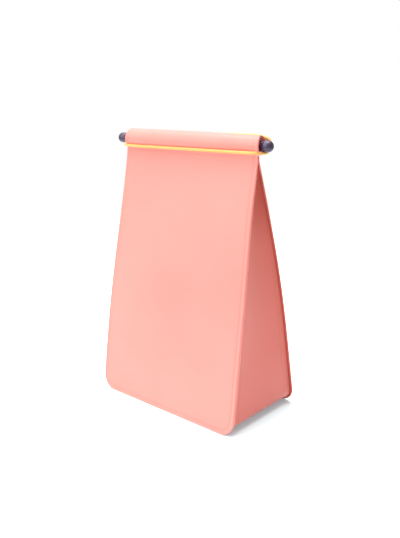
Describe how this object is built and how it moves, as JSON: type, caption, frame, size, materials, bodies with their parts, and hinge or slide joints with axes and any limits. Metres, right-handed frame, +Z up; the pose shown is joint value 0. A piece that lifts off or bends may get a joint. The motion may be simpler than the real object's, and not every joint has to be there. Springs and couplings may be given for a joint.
{
  "type": "reusable silicone bag",
  "caption": "Gusseted standing silicone food bag with its mouth rolled round a plastic rod and held shut by an elastic band.",
  "frame": {"origin": "on the table, under the middle of the bag's footprint", "axes": "+Z up, +X along the closing rod towards its right end, -Y out of the front panel"},
  "size_m": [0.164, 0.0814, 0.2247],
  "materials": {
    "silicone": "satin coral-pink silicone",
    "rod_plastic": "dark purple moulded plastic, softly shiny",
    "band_rubber": "pale yellow silicone cord"
  },
  "bodies": {
    "bag": {"front_panel": "silicone", "back_panel": "silicone", "base_panel": "silicone", "left_gusset": "silicone", "right_gusset": "silicone", "outer_turn": "silicone"},
    "flap": {"neck_flap": "silicone"},
    "roll": {"inner_turn": "silicone"},
    "rod": {"closing_rod": "rod_plastic"},
    "band": {"elastic_band": "band_rubber"}
  },
  "joints": [
    {"name": "roll_rise", "type": "slide", "parent": "bag", "child": "flap", "axis": [0, 0, 1], "range_m": [0, 0.0458], "deforming": ["neck_flap", "outer_turn"]},
    {"name": "roll_turn", "type": "hinge", "parent": "flap", "child": "roll", "pos_m": [0, 0.0042, 0.21659], "axis": [1, 0, 0], "range_deg": [0, 360]},
    {"name": "rod_pull", "type": "slide", "parent": "roll", "child": "rod", "axis": [1, 0, 0], "range_m": [0, 0.172]},
    {"name": "band_off", "type": "slide", "parent": "flap", "child": "band", "axis": [0, -1, 0], "range_m": [0, 0.06], "deforming": ["elastic_band"]}
  ],
  "couplings": [
    {"joint": "roll_turn", "follows": "roll_rise", "rad_per_m": 137}
  ]
}
